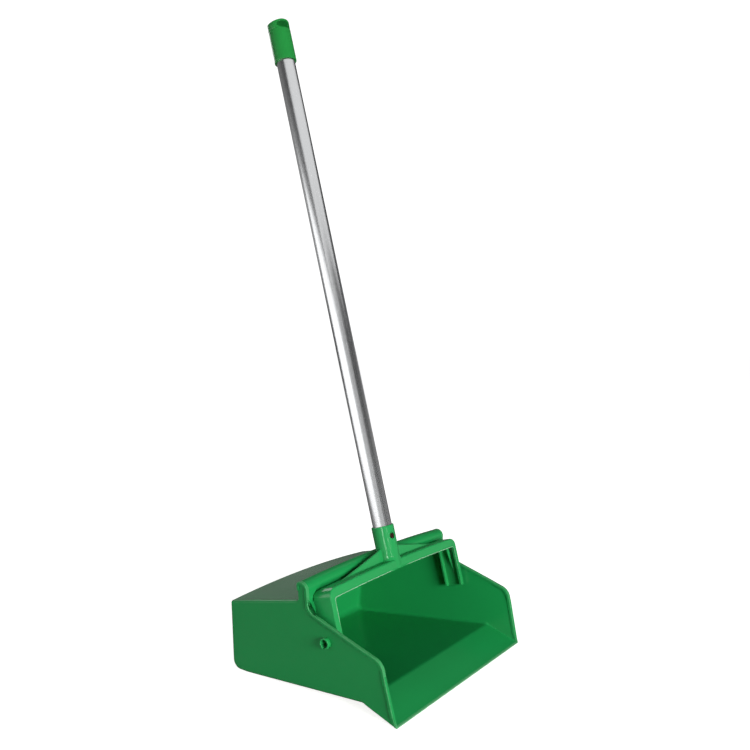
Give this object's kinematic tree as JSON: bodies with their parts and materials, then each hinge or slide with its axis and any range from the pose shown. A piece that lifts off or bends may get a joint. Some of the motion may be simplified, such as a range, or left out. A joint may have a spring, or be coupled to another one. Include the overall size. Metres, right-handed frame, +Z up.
{
  "type": "upright dust pan",
  "caption": "Hooded upright dust pan with a ramped lip, a yoke hinged on side studs, a long aluminium tube handle and an arched cap with a hanging slot.",
  "frame": {"origin": "on the floor, at the middle of the whole object's width and of its length from the lip to the back of the cap", "axes": "+Z up; -Y out of the pan's mouth, towards the user's broom; +X to the right when looking into the object from the mouth towards the back wall"},
  "size_m": [0.292, 0.2904, 0.8032],
  "materials": {
    "pan_plastic": "semi-gloss moulded polypropylene, green",
    "yoke_plastic": "semi-gloss moulded polypropylene, green",
    "tube_aluminium": "drawn, bright satin",
    "plug_plastic": "plain moulded, natural",
    "screw_steel": "dull plated",
    "cap_plastic": "semi-gloss moulded plastic, green"
  },
  "bodies": {
    "pan": {"pan": "pan_plastic"},
    "handle": {"yoke": "yoke_plastic", "handle_tube": "tube_aluminium", "tube_plug": "plug_plastic", "tube_screw": "screw_steel", "hanging_cap": "cap_plastic"}
  },
  "joints": [
    {"name": "handle_hinge", "type": "hinge", "parent": "pan", "child": "handle", "pos_m": [0, -0.05467, 0.07], "axis": [1, 0, 0], "range_deg": [0, 108]}
  ]
}
